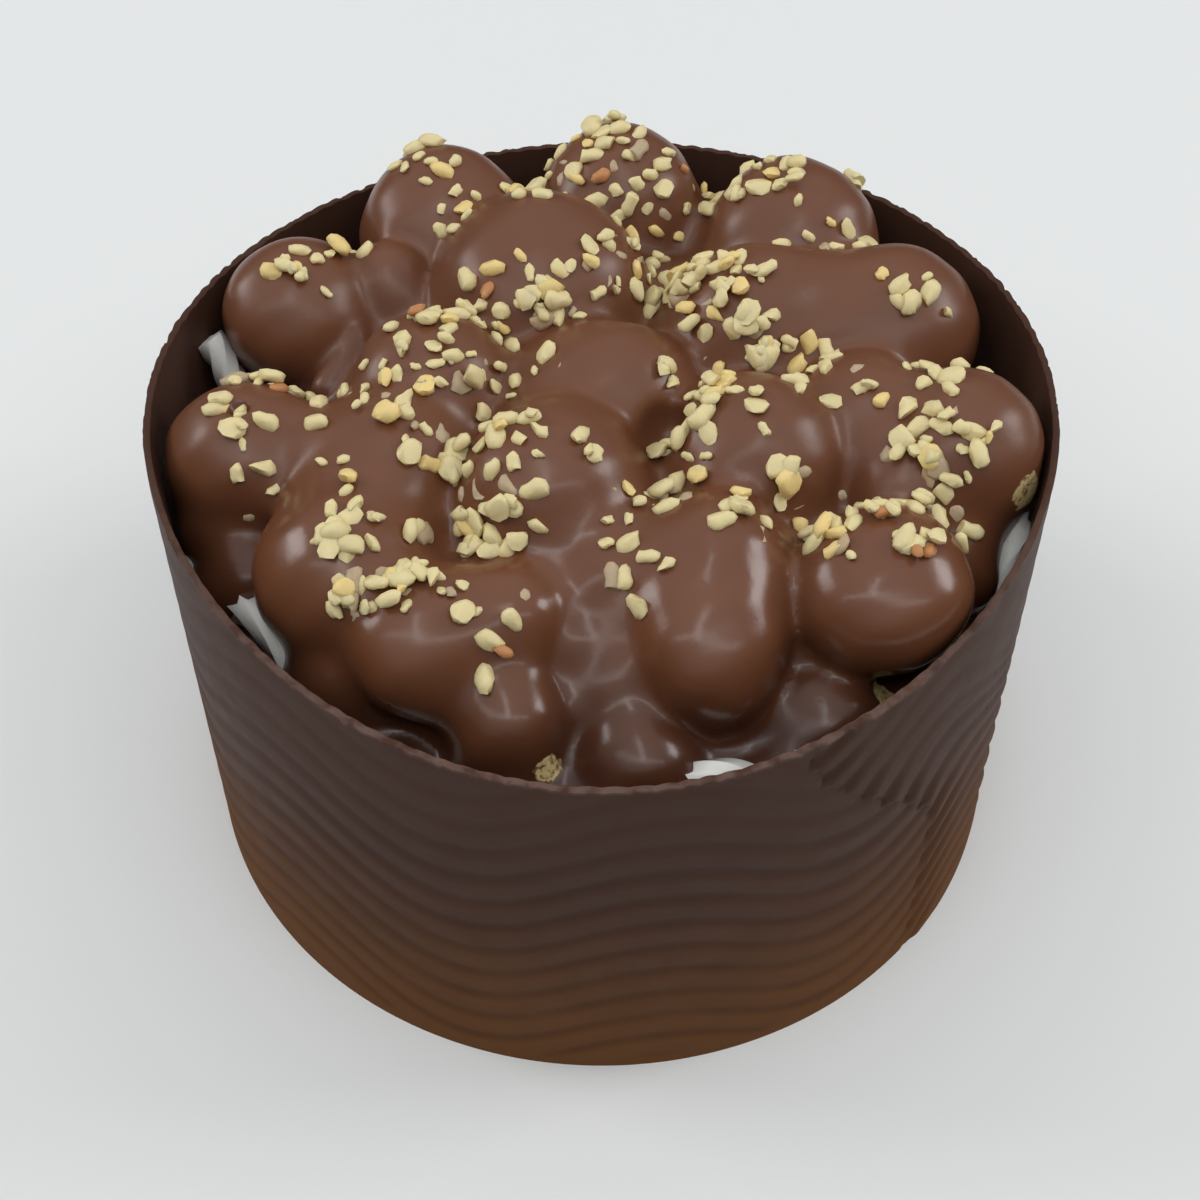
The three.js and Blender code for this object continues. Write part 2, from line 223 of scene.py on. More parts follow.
# Each slow swell of the rim: its reach, how often it comes round the cake, and its wave
RIM_SWELLS = [(1.8 * MM, 1, "SINE"), (5.4 * MM, 2, "COSINE"), (1.0 * MM, 2, "SINE"), (-1.4 * MM, 3, "SINE")]
BAND_COLUMNS = 720
OUTSIDE_ROWS = 104
ACROSS_ROWS = 5
INSIDE_ROWS = 12
RIM_SCALLOPS = 131
SHARP_FOLD = math.radians(50)
DARK_TOP = (0.066, 0.031, 0.021, 1)
# Painted warm light, reflected up onto the foot of the band
DARK_FOOT_PAINTED_GLOW = (0.138, 0.058, 0.021, 1)
# Painted shade in the rib grooves
DARK_GROOVE_PAINTED_SHADE = (0.021, 0.0095, 0.0065, 1)
DARK_RIM = (0.132, 0.080, 0.064, 1)


def named_tree(name, sizes):
    """An empty Geometry Nodes tree with a named input for each size, and those inputs by name."""
    tree = bpy.data.node_groups.new(name, "GeometryNodeTree")
    tree.interface.new_socket("Geometry", in_out="INPUT", socket_type="NodeSocketGeometry")
    tree.interface.new_socket("Geometry", in_out="OUTPUT", socket_type="NodeSocketGeometry")
    for label, size in sizes.items():
        kind = "NodeSocketInt" if isinstance(size, int) else "NodeSocketFloat"
        tree.interface.new_socket(label, in_out="INPUT", socket_type=kind)
    start = Value(tree, tree.nodes.new("NodeGroupInput").outputs[0])
    return start, {label: start.output(label) for label in sizes}


def grown(name, start, sizes, result, material, seed_mesh=None):
    """Ends a tree with realized instances and a material, and returns what it makes as a plain mesh."""
    tree = start.tree
    result = start.node("GeometryNodeRealizeInstances", {}, {0: result})
    result = start.node("GeometryNodeSetMaterial", {}, {0: result, "Material": material})
    tree.links.new(result.socket, tree.nodes.new("NodeGroupOutput").inputs[0])
    piece = bpy.data.objects.new(name, seed_mesh or bpy.data.meshes.new(name))
    bpy.context.collection.objects.link(piece)
    modifier = piece.modifiers.new("made", "NODES")
    modifier.node_group = tree
    for item in tree.interface.items_tree:
        if item.in_out == "INPUT" and item.name in sizes:
            modifier[item.identifier] = sizes[item.name]
    shaped = piece.evaluated_get(bpy.context.evaluated_depsgraph_get())
    mesh = bpy.data.meshes.new_from_object(shaped)
    piece.modifiers.clear()
    piece.data = mesh
    return piece


def dark_chocolate():
    """Nearly black brown with a dull sheen, with painted warm reflected light towards the foot, painted
    shade in the grooves, and paler on the broken rim in front."""
    material, start, shader = new_material("dark chocolate", Specular_IOR_Level=0.09)
    place = start.node("ShaderNodeTexCoord", {}, {}, "Object")
    height = place.node("ShaderNodeSeparateXYZ", {}, {0: place}, "Z")
    in_front = 1.0 - height.output("Y").between(-0.095, -0.010)
    rim = start.node("ShaderNodeAttribute", {"attribute_name": "rim"}, {}, "Fac") * in_front
    drift = noise(place, 60.0)
    # Painted warm reflected light towards the foot
    base = colour_mix((height + 0.02 * drift).between(0.005, 0.090), DARK_FOOT_PAINTED_GLOW, DARK_TOP)
    groove = start.node("ShaderNodeAttribute", {"attribute_name": "groove"}, {}, "Fac")
    # Painted shade in the grooves, stronger in random patches
    base = colour_mix(groove * (0.05 + 0.40 * noise(place, 70.0)), base, DARK_GROOVE_PAINTED_SHADE)
    base = colour_mix(rim * noise(place, 260.0, 3.0).between(0.30, 0.62), base, DARK_RIM)
    feed(base, shader, "Base Color")
    dull = 0.72 - 0.27 * height.between(0.005, 0.075)
    feed(dull + 0.15 * noise(place, 120.0), shader, "Roughness")
    feed(bump(noise(place, 180.0, 3.0), 0.12, 0.001), shader, "Normal")
    return material


def band_tree():
    """The strip's outline, 0 to 1 up the outside, 1 to 2 over the rim, 2 to 3 down the inside and 3 to 4
    under the foot, carried round the cake."""
    start, size = named_tree("wrapped band", BAND)
    rows = OUTSIDE_ROWS + ACROSS_ROWS + INSIDE_ROWS + 1
    sockets = {"Size X": 1.0, "Size Y": float(rows), "Vertices X": BAND_COLUMNS + 1, "Vertices Y": rows + 1}
    sheet = start.node("GeometryNodeMeshGrid", {}, sockets)
    place = start.node("GeometryNodeInputPosition")
    along = place.node("ShaderNodeSeparateXYZ", {}, {0: place}, "X")
    angle = along * (2 * math.pi)
    row = along.output("Y") + rows / 2

    def stretch(first, last):
        return row.node("ShaderNodeMapRange", {}, {0: row, 1: float(first), 2: float(last), 3: 0.0, 4: 1.0})

    rise = stretch(0, OUTSIDE_ROWS)
    across = stretch(OUTSIDE_ROWS, OUTSIDE_ROWS + ACROSS_ROWS)
    fall = stretch(OUTSIDE_ROWS + ACROSS_ROWS, rows - 1)
    under = stretch(rows - 1, rows)

    # The rim rises and falls like the cream heap inside it, with small scallops where it broke
    rim_height = size["Rim height"]
    for reach, times, wave in RIM_SWELLS:
        rim_height = rim_height + reach * angle.math(wave, times * angle)
    eastward, northward = angle.math("COSINE", angle), angle.math("SINE", angle)
    ring = start.node("ShaderNodeCombineXYZ", {}, {0: eastward, 1: northward})
    chipped = noise(ring, 9.0, 3.0)
    scallop = angle.math("ABSOLUTE", angle.math("SINE", RIM_SCALLOPS / 2 * angle + 5.0 * noise(ring, 5.0)))
    rim_height = rim_height - size["Rim scallop"] * (1.0 - scallop) * chipped
    rim_height = rim_height + size["Rim wander"] * (chipped - 0.5)
    chip = noise(ring, 48.0, 2.0).between(0.56, 0.66) * (1.0 - across.between(0.1, 0.5))
    rim_height = rim_height - size["Rim chip"] * chip
    height = rim_height * (rise - fall)

    # The free end laps over the start along a line that leans left near the rim, with a torn edge
    lean = height.between(0.050, 0.108)
    phase = height / size["Rib pitch"]
    tear = 0.035 * angle.math("PINGPONG", phase, 0.5) + 0.015 * (noise(ring, 40.0) - 0.5)
    lap_line = size["Lap foot angle"] + lean * (size["Lap rim angle"] - size["Lap foot angle"]) + tear
    past = angle.math("FLOORED_MODULO", angle - lap_line, 2 * math.pi)
    lap = angle.math("MAXIMUM", 1.0 - past / size["Lap fade"], 0.0)
    edge = 1.0 - past.between(0.0, 0.02)

    # The ribs: soft crests and narrower grooves, in waves that surge higher past the lap, where the
    # grooves tear open
    near_lap = 1.0 - past.between(0.5, 1.3)
    crest_angle = size["Crest angle"] - size["Lap shift"] * near_lap * height.between(0.050, 0.100)
    surge = size["Wave reach"] + size["Lap surge"] * near_lap
    wave = surge * angle.math("COSINE", size["Waves"] * (angle - crest_angle))
    wave = wave + size["Wave wander"] * (noise(ring, 2.5) - 0.5)
    turn = (height - wave) / size["Rib pitch"] * (2 * math.pi)
    crest = 0.5 + 0.5 * angle.math("COSINE", turn)
    fine = 0.5 + 0.5 * angle.math("COSINE", 2 * turn + 1.1)
    worn = 0.40 + 0.60 * (1.0 - height.between(0.065, 0.100))
    worn = worn * height.between(0.0, 0.006) + 1.3 * (1.0 - past.between(0.01, 0.16))
    sunk = worn * ((1.0 - crest) ** 1.7 * 0.8 + 0.2 * fine)
    outside = size["Radius"] - size["Rib depth"] * sunk + size["Lap"] * lap - size["Lap groove"] * edge * lap
    inside = size["Radius"] - size["Thickness"] + size["Inside wander"] * (noise(ring, 12.0) - 0.5)
    inside = inside + size["Rim thinning"] * (1.0 - fall.between(0.0, 0.12))
    radius = outside + (inside - outside) * (across - under)
    rounding = size["Rim rounding"] * angle.math("SINE", math.pi * across)
    corner = {0: radius * eastward, 1: radius * northward, 2: height + rounding}
    corner = start.node("ShaderNodeCombineXYZ", {}, corner)
    rim_share = rise.between(0.995, 1.0) * (1.0 - fall.between(0.0, 0.03))
    # Where the grooves lie, which carries their painted shade
    groove_painted_shade_share = sunk.between(0.15, 0.85) * (1.0 - across.between(0.0, 0.2))
    for label, share in (("rim", rim_share), ("groove", groove_painted_shade_share)):
        sheet = start.node(
            "GeometryNodeStoreNamedAttribute",
            {"data_type": "FLOAT", "domain": "POINT"},
            {"Geometry": sheet, "Name": label, "Value": share},
        )
    bent = start.node("GeometryNodeSetPosition", {}, {"Geometry": sheet, "Position": corner})
    closed = start.node("GeometryNodeMergeByDistance", {}, {"Geometry": bent, "Distance": 1e-6})
    return start, start.node("GeometryNodeSetShadeSmooth", {}, {"Geometry": closed})


start, strip = band_tree()
band = grown("chocolate_wrap", start, BAND, strip, dark_chocolate())
band.data.set_sharp_from_angle(angle=SHARP_FOLD)
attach(band, "root")
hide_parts("chocolate_band")


# ---- The poured milk chocolate over the puffs ----
# Cream-filled choux puffs, heaped inside the band and drowned in milk chocolate, which runs from one to
# the next and fills the hollows between them. Soft ropes of it hang where it ran down, and a few spots of
# the puffs are bare. The sizes of this section and of the next two are in millimetres.

FILLING_TOP = 92.0
PIECE_GAP = 0.3
ROOM_RADIUS = 96.9
HEAP_TOP = 147.0
MARGIN = 2.0
CELL = 1.06  # side of the cells that the skin is found in
# The pool: its level in the middle and at the edge, the reaches from the cake's axis that it falls between
# and ends at, how steep its skin counts, and how softly it joins
POOL = {
    "middle": 115.0, "edge": 93.5, "fall from": 50.0, "fall to": 86.0, "rim": 94.5,
    "slope": 0.9, "blend": 16.0,
}
# Each puff: angle round the cake, reach from its axis, height, radius, height as a share of width, and how
# softly the chocolate joins it to the others
PUFFS = {
    "outer_01": (153, 80, 112.3, 18.1, 0.97, 9),
    "outer_02": (120, 77, 112.5, 20.8, 0.98, 9),
    "outer_03": (86, 77, 113, 19.8, 1, 9),
    "outer_04": (52, 76, 114, 20.6, 1, 9),
    "outer_05": (24, 74, 112, 19.6, 1, 13),
    "outer_06": (-10, 79, 115, 18.7, 1, 10),
    "outer_07": (-41.5, 78, 113.2, 18.8, 0.82, 8),
    "outer_08": (-71.8, 67.5, 107.4, 14.9, 1, 13),
    "outer_09": (-119.5, 74, 109.3, 13.8, 0.95, 9),
    "outer_10": (-139, 71, 112, 18.4, 0.95, 14),
    "outer_11": (-171, 79, 113, 17.8, 0.92, 10),
    "inner_01": (110, 43, 119, 24, 0.8, 8),
    "inner_02": (36, 42, 118, 19.6, 0.95, 14),
    "inner_03": (-5, 58, 115, 16.2, 1, 15),
    "inner_04": (-27, 37, 117, 19.2, 0.95, 9),
    "inner_05": (60, 4, 118.5, 17.2, 0.88, 12),
    "inner_06": (-111, 30, 118, 19.9, 0.95, 8),
    "inner_07": (-157, 50, 113, 17.8, 1, 15),
    "inner_08": (174, 38.5, 118, 17.4, 1, 12),
    "low_01": (140, 66, 116, 9.8, 1, 5),
    "low_02": (-156, 84, 98, 10.5, 1, 7),
    "low_03": (-131, 84, 98, 10, 1, 9),
    "low_04": (-104, 78, 101.5, 11.5, 1, 14),
    "low_05": (-85, 82, 94.5, 10.3, 1, 6),
    "low_06": (-57, 84, 92.5, 11, 1, 12),
}
# Each rope of chocolate: from x, y, z to x, y, z, its radius at each end, and how softly it joins
ROPES = [
    ((4, -47, 112), (22, -46, 113.5), 12.5, 15.5, 12),
    ((22, -48, 112.5), (21.5, -58, 110.3), 15.2, 15.0, 9),
    ((-36, -62.5, 110.8), (-19, -59.5, 113), 13.0, 11.5, 11),
    ((-53.6, -46.6, 112), (-46, -19.5, 113), 16.5, 16.5, 9),
    ((-70, -14, 112.5), (-46, -19.5, 113), 12.5, 14.5, 9),
    ((34, 24.7, 117), (67.6, 30.1, 112), 17.5, 18.0, 7),
    ((-6, 4, 115), (-14, -24, 115), 13.5, 14.0, 9),
    ((57.8, -5, 115), (64.5, -22, 113.5), 14.5, 13.0, 7),
    ((76, -15, 110), (76, -36, 101), 13.0, 10.0, 7),
    ((20, 72, 104), (36, 64, 106), 13.0, 13.0, 7),
    ((1.5, -48, 112), (3, -66.5, 101.5), 9.0, 8.5, 10),
    ((3, -66.5, 101.5), (6, -79, 95), 8.5, 9.0, 9),
    ((-9, -52, 114), (-6.5, -62, 108.5), 4.5, 4.2, 7),
    ((-6.5, -62, 108.5), (-5.5, -72, 101), 4.2, 3.6, 7),
    ((39, -41, 112), (42.5, -58, 101), 4.5, 5.5, 5),
    ((-83, -16, 103), (-81, -22, 101.5), 11.0, 12.0, 7),
    ((-81.5, -36.9, 96.5), (-78, -33, 99), 7.5, 7.0, 5),
    ((-49, 55, 119.5), (-41.5, 42.5, 112.5), 3.6, 4.2, 3),
    ((-53, 36, 115.5), (-51.5, 37, 115.5), 3.6, 3.6, 2),
    ((-57.5, 25, 114), (-62.5, 14, 109.5), 3.4, 3.4, 3),
]
# Each dent: x, y, z, its radius, and how softly it sinks in
DENTS = [
    ((10.5, -27.1, 114), 3.2, 4),
    ((14.5, -14, 123), 5.5, 5),
    ((-77.5, -14, 129.5), 2.6, 2),
]
MILK = (0.162, 0.062, 0.029, 1)
MILK_DEEP = (0.138, 0.049, 0.022, 1)
# Painted shade for the chocolate low down in the hollows
MILK_PAINTED_LOW_SHADE = (0.058, 0.020, 0.010, 1)
CHOUX = (0.58, 0.46, 0.20, 1)
# Each bare spot of choux pastry: its x, y, z and its radius, and the width of every spot's torn edge
BARE_SPOTS = [(90.7, -27.1, 117.2, 4.6), (60, -66, 98, 4.0), (7.8, -85, 97, 2.4), (-13, -84, 97, 3.2)]
BARE_EDGE = 0.7


def soft_minimum(first, second, blend):
    near = np.maximum(blend - np.abs(first - second), 0) / blend
    return np.minimum(first, second) - near ** 3 * blend / 6


def rope(points, start, end, first_radius, last_radius):
    start, end = np.array(start, float), np.array(end, float)
    run = end - start
    share = np.clip((points - start) @ run / (run @ run), 0, 1)
    radius = first_radius + share * (last_radius - first_radius)
    return np.linalg.norm(points - start - share[..., None] * run, axis=-1) - radius


def ellipsoid(points, centre, radius, half_height):
    tiny = 1e-9
    offset = points - centre
    halves = np.array([radius, radius, half_height])
    scaled = np.linalg.norm(offset / halves, axis=-1) + tiny
    slope = np.linalg.norm(offset / halves ** 2, axis=-1) + tiny
    return scaled * (scaled - 1) / slope


def wobble(points):
    """The slow unevenness of poured chocolate, in millimetres."""
    x, y, z = points[..., 0], points[..., 1], points[..., 2]
    slow = np.sin(0.145 * x + 1.3) * np.sin(0.131 * y + 0.4) + np.sin(0.17 * z + 0.09 * x - 0.11 * y)
    quick = np.sin(0.31 * x - 0.22 * y + 0.6) * np.sin(0.27 * y + 0.25 * z)
    return 0.42 * slow + 0.2 * quick


def glaze_distance(points):
    """Distance to the skin of the chocolate, negative inside. The softest joints come first."""
    far = 1e3
    reach = np.hypot(points[..., 0], points[..., 1])
    nearest = np.full(points.shape[:-1], far)
    for angle, away, height, radius, squash, blend in sorted(PUFFS.values(), key=lambda puff: -puff[-1]):
        turn = math.radians(angle)
        centre = np.array([away * math.cos(turn), away * math.sin(turn), height])
        ball = ellipsoid(points, centre, radius, radius * squash)
        nearest = soft_minimum(nearest, ball, blend)
    share = np.clip((reach - POOL["fall from"]) / (POOL["fall to"] - POOL["fall from"]), 0, 1)
    level = POOL["middle"] + (POOL["edge"] - POOL["middle"]) * share ** 2 * (3 - 2 * share)
    pool = np.maximum(POOL["slope"] * (points[..., 2] - level), reach - POOL["rim"])
    nearest = soft_minimum(nearest, pool, POOL["blend"])
    for start, end, first_radius, last_radius, blend in ROPES:
        run = rope(points, start, end, first_radius, last_radius)
        nearest = soft_minimum(nearest, run, blend)
    for centre, radius, blend in DENTS:
        hollow = np.linalg.norm(points - np.array(centre, float), axis=-1) - radius
        nearest = -soft_minimum(-nearest, hollow, blend)
    nearest = nearest + wobble(points)
    nearest = np.maximum(nearest, reach - ROOM_RADIUS)
    return np.maximum(nearest, FILLING_TOP + PIECE_GAP - points[..., 2])


def skin(distance, low, high, cell):
    """Corners and four-sided faces where distance is 0: one corner in each cell that the skin crosses,
    drawn in a few rounds from the middle of its cell to the skin, and no further than its room."""
    rounds, room, step, least_slope = 4, 0.6 * cell, 0.05 * cell, 0.3
    axes = [np.arange(a, b + cell, cell) for a, b in zip(low, high)]
    values = distance(np.stack(np.meshgrid(*axes, indexing="ij"), -1))
    inside = values < 0
    filled = sum(
        inside[i : i - 1 or None, j : j - 1 or None, k : k - 1 or None].astype(int)
        for i in (0, 1) for j in (0, 1) for k in (0, 1)
    )
    crossed = (filled > 0) & (filled < 8)
    number = np.full(crossed.shape, -1)
    number[crossed] = np.arange(crossed.sum())
    middles = (np.argwhere(crossed) + 0.5) * cell + [axis[0] for axis in axes]
    corners = middles.copy()
    for _ in range(rounds):
        here = distance(corners)
        slope = np.stack([distance(corners + step * way) - here for way in np.eye(3)], -1) / step
        slope /= np.maximum((slope ** 2).sum(-1, keepdims=True), least_slope)
        corners = np.clip(corners - here[:, None] * slope, middles - room, middles + room)
    faces = []
    for axis in range(3):
        here = np.moveaxis(inside, axis, 0)
        cells = np.moveaxis(number, axis, 0)
        leaves = (here[:-1] != here[1:])[:, 1:-1, 1:-1]
        outward = here[:-1][:, 1:-1, 1:-1][leaves]
        around = [cells[:, :-1, :-1], cells[:, 1:, :-1], cells[:, 1:, 1:], cells[:, :-1, 1:]]
        quads = np.stack([cell_number[leaves] for cell_number in around], -1)
        if axis == 1:
            outward = ~outward
        quads[~outward] = quads[~outward][:, ::-1]
        faces.append(quads)
    return corners, np.concatenate(faces)


def mesh_piece(name, corners, faces, material):
    """A smooth piece from corners in millimetres."""
    mesh = bpy.data.meshes.new(name)
    mesh.from_pydata(corners * MM, [], faces.tolist())
    mesh.shade_smooth()
    mesh.materials.append(material)
    piece = bpy.data.objects.new(name, mesh)
    bpy.context.collection.objects.link(piece)
    return piece


def bare_choux(place):
    """1 in the small spots that the chocolate left bare, with ragged edges, and 0 elsewhere. Each spot is
    drawn to the nearest corner of the skin."""
    ragged = 0.0035 * (noise(place, 420.0, 3.0) - 0.5)
    bare = None
    for *spot, radius in BARE_SPOTS:
        centre = glaze_corners[np.linalg.norm(glaze_corners - spot, axis=1).argmin()] * MM
        sockets = {0: place, 1: tuple(centre)}
        away = place.node("ShaderNodeVectorMath", {"operation": "DISTANCE"}, sockets, "Value")
        inside = 1.0 - (away + ragged).between((radius - BARE_EDGE) * MM, radius * MM)
        bare = inside if bare is None else bare.math("MAXIMUM", bare, inside)
    return bare


def milk_chocolate():
    """Smooth set milk chocolate in two browns, with painted shade low down in the hollows, and with more
    gloss in front, where it was poured last. The choux pastry shows through in a few spots."""
    material, start, shader = new_material("milk chocolate", Specular_IOR_Level=0.43)
    place = start.node("ShaderNodeTexCoord", {}, {}, "Object")
    parts = place.node("ShaderNodeSeparateXYZ", {}, {0: place}, "Y")
    behind = parts.between(-0.050, -0.020)
    bare = bare_choux(place)
    base = colour_mix(noise(place, 45.0), MILK_DEEP, MILK)
    # Painted shade: darker low down, in the hollows near the band
    base = colour_mix(parts.output("Z").between(0.094, 0.122), MILK_PAINTED_LOW_SHADE, base)
    crust = colour_mix(noise(place, 700.0).between(0.30, 0.55), MILK, CHOUX)
    feed(colour_mix(bare, base, crust), shader, "Base Color")
    low = 1.0 - parts.output("Z").between(0.096, 0.110)
    gloss = 0.18 + 0.12 * behind + 0.03 * low + 0.10 * noise(place, 60.0)
    feed(gloss + 0.4 * bare, shader, "Roughness")
    uneven = 0.3 * noise(place, 260.0, 3.0) + bare * noise(place, 900.0)
    feed(bump(uneven, 0.2, 0.001), shader, "Normal")
    return material


low_corner = (-ROOM_RADIUS - MARGIN, -ROOM_RADIUS - MARGIN, FILLING_TOP - MARGIN)
high_corner = (ROOM_RADIUS + MARGIN, ROOM_RADIUS + MARGIN, HEAP_TOP)
glaze_corners, glaze_faces = skin(glaze_distance, low_corner, high_corner, CELL)
glaze = mesh_piece("poured_chocolate", glaze_corners, glaze_faces, milk_chocolate())
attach(glaze, "root")
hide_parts(*[f"profiterole_{name}" for name in PUFFS])


# ---- The cream ----
# Whipped cream fills the band up to the puffs, and folds of it, piped through a star nozzle, stand in the
# gaps between the puffs and the band.

CREAM_CORE = {"Core radius": ROOM_RADIUS * MM, "Core height": FILLING_TOP * MM}
CORE_SIDES = 128
FOLD_STEPS = 24
CREAM_WHITE = (0.85, 0.86, 0.82, 1)
CREAM_SHADE = (0.75, 0.74, 0.69, 1)
# Each piped fold: the places x, y, z that it runs through
CREAM_FOLDS = [
    [(-86, 23, 99), (-88, 25.5, 105), (-90, 27, 110), (-91.5, 28, 112)],
    [(-83, -37, 93), (-86, -34, 99), (-88, -30, 100), (-90, -26, 94)],
    [(-80, -40, 94), (-77, -44, 100), (-72, -50, 103), (-67, -56, 100), (-63, -60, 94)],
    [(-74, -45, 96), (-71, -48, 103), (-68, -51, 104), (-66, -53, 98)],
    [(13, -88, 92), (19, -87, 97), (25, -86, 97), (30, -85, 92)],
    [(38, -82, 92), (41, -79, 97), (44, -78, 97), (48, -78, 92)],
    [(86, -36, 95), (89, -31, 101), (91, -27, 104), (92, -22, 102)],
]
FOLD = {"Nozzle radius": 3.7 * MM, "Points of the star": 6, "Twist": 2.2, "Star depth": 0.62}


def whipped_cream():
    """Matt off-white cream, a little open in its grain."""
    material, start, shader = new_material("whipped cream", Roughness=0.55, Subsurface_Weight=0.25)
    shader.inputs["Subsurface Radius"].default_value = (0.004, 0.0035, 0.003)
    shader.inputs["Subsurface Scale"].default_value = 1.0
    place = start.node("ShaderNodeTexCoord", {}, {}, "Object")
    feed(colour_mix(noise(place, 120.0), CREAM_SHADE, CREAM_WHITE), shader, "Base Color")
    feed(bump(noise(place, 900.0, 3.0), 0.2, 0.0004), shader, "Normal")
    return material


def fold_paths():
    """The folds' paths as one mesh of edges, for the nozzle to follow."""
    corners, edges = [], []
    for path in CREAM_FOLDS:
        first = len(corners)
        corners += [Vector(place) * MM for place in path]
        edges += [(first + step, first + step + 1) for step in range(len(path) - 1)]
    mesh = bpy.data.meshes.new("fold paths")
    mesh.from_pydata(corners, edges, [])
    return mesh


def cream_tree():
    """A star nozzle drawn along the paths, twisting and thinner at the ends, and the cream's flat core."""
    start, size = named_tree("cream", CREAM_CORE | FOLD)
    path = start.node("GeometryNodeMeshToCurve", {}, {0: start})
    path = start.node("GeometryNodeCurveSplineType", {"spline_type": "NURBS"}, {0: path})
    path = start.node("GeometryNodeResampleCurve", {}, {0: path, "Count": FOLD_STEPS})
    along = start.node("GeometryNodeSplineParameter")
    taper = 0.35 + 0.65 * along.math("SINE", math.pi * along) ** 0.6
    path = start.node("GeometryNodeSetCurveRadius", {}, {0: path, "Radius": taper})
    path = start.node("GeometryNodeSetCurveTilt", {}, {0: path, "Tilt": size["Twist"] * along})
    star = {
        "Points": size["Points of the star"],
        "Inner Radius": size["Nozzle radius"] * size["Star depth"],
        "Outer Radius": size["Nozzle radius"],
    }
    nozzle = start.node("GeometryNodeCurveStar", {}, star)
    sockets = {"Curve": path, "Profile Curve": nozzle, "Fill Caps": True}
    folds = start.node("GeometryNodeCurveToMesh", {}, sockets)
    sockets = {"Vertices": CORE_SIDES, "Radius": size["Core radius"], "Depth": size["Core height"]}
    core = start.node("GeometryNodeMeshCylinder", {}, sockets)
    middle = start.node("ShaderNodeCombineXYZ", {}, {2: 0.5 * size["Core height"]})
    core = start.node("GeometryNodeTransform", {}, {"Geometry": core, "Translation": middle})
    joined = start.node("GeometryNodeJoinGeometry", {}, {0: core})
    start.tree.links.new(folds.socket, joined.socket.node.inputs[0])
    return start, joined


start, cream_shape = cream_tree()
cream = grown("whipped_cream_filling", start, CREAM_CORE | FOLD, cream_shape, whipped_cream(), fold_paths())
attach(cream, "root")
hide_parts("cream_filling")


# ---- The chopped hazelnuts ----
# Blanched hazelnuts, chopped to crumbs of about 3 to 7 mm and strewn while the chocolate was soft. Some
# sank in and took a film of it, and a few are toasted.

# Each strewing: from x, y to x, y, how far it spreads to the sides, and how many nuts lie in it
STREWINGS = [
    (-23, 68, -14, 44, 2.5, 5), (0, 64, 22, 67, 4.4, 8), (44, 42, 64, 48, 2.4, 8),
    (64, 25, 73, 24, 4.6, 7), (-25, 25, -13, 23, 4.6, 8), (-11, 21, -13, 18, 1.8, 7),
    (-9, 20, 9, 40, 3.2, 11), (-4, 23, 12, 54, 3.2, 9), (9, 42, 31, 9, 5.3, 30),
    (18, 27, 35, 17, 3.7, 12), (30, 12, 36, 9, 1.8, 4), (27, -9, 19, -15, 3.4, 11),
    (14, -2, 15, -2, 1.7, 2), (22, -24, 13, -17, 2.1, 7), (33, 6, 42, 6, 2, 6), (46, 9, 46, -13, 3.2, 8),
    (53, -3, 60, -13, 1.1, 3), (34, -17, 34, -24, 1.1, 2), (37, -32, 42, -30, 1, 2),
    (22, -30, 19, -30, 1.1, 2), (-44, 5, -16, 19, 3.1, 15), (-13, 6, -12, -1, 1.8, 2),
    (-45, -5, -22, -2, 3.9, 17), (-42, -22, -15, -28, 3.8, 17),
    (-38, -27, -15, -37, 3, 9), (-56, 0, -43, -20, 3.1, 8),
    (-65, 7, -58, -21, 1.2, 3), (-4, -28, -2, -33, 0.8, 2), (-82, -13, -74, -20, 2.6, 6),
    (-77, -29, -66, -26, 1.3, 3), (-57, -28, -52, -38, 1.7, 4), (-53, -45, -46, -47, 1.6, 4),
    (-56, -53, -49, -53, 2, 6), (-51, -62, -46, -64, 2.4, 8), (-45, -55, -40, -64, 2.4, 7),
    (-39, -47, -37, -44, 1.2, 2), (-40, -55, -26, -64, 2.4, 8), (-25, -43, -13, -48, 2.5, 10),
    (-25, -74, -13, -59, 1.6, 4), (-29, -40, -26, -40, 1.3, 2), (4, -41, 19, -32, 2.9, 10),
    (24, -49, 30, -37, 1.6, 4), (-2, -47, 14, -56, 1.7, 3), (3, -54, 7, -63, 1.2, 2),
    (35, -38, 34, -64, 1.3, 2), (40, -35, 50, -45, 3, 9), (51, -25, 57, -43, 2.6, 6),
    (54, -45, 72, -32, 2, 11), (60, -53, 67, -51, 2, 7), (41, -39, 50, -55, 1.7, 4),
    (68, -60, 81, -31, 1, 2), (70, -1, 73, -11, 2.7, 5), (66, -21, 75, -26, 4.3, 13),
    (64, -25, 72, -29, 1.7, 5), (74, -31, 81, -23, 1.7, 4), (-44, 74, -34, 54, 5, 14),
    (-12, 73, 14, 71, 7, 24), (0, 83, 5, 82, 3.5, 5), (30, 71, 45, 57, 5, 14),
    (24, 73, 30, 73, 3, 5), (60, 70, 62, 71, 1, 2), (74, 7, 83, 3, 2.5, 9),
    (-73, 28, -58, 47, 3, 8), (-80, -1, -67, 0, 2.5, 9), (-72, 34, -64, 30, 3, 4),
]
NUT_SIZES = {"Shortest": 2.7 * MM, "Longest": 6.9 * MM, "Seed": 4}
NUTS_MORE = 1.35  # how many times its count lie in each strewing
NUTS_WIDER = 1.55  # how many times its spread each strewing spreads
NUT_APART = 4.1  # least distance between the middles of two nuts, where there is room
NUT_TRIES = 12  # how often room is sought for a nut
NUT_KINDS = 14
DROP_HEIGHT = 160.0
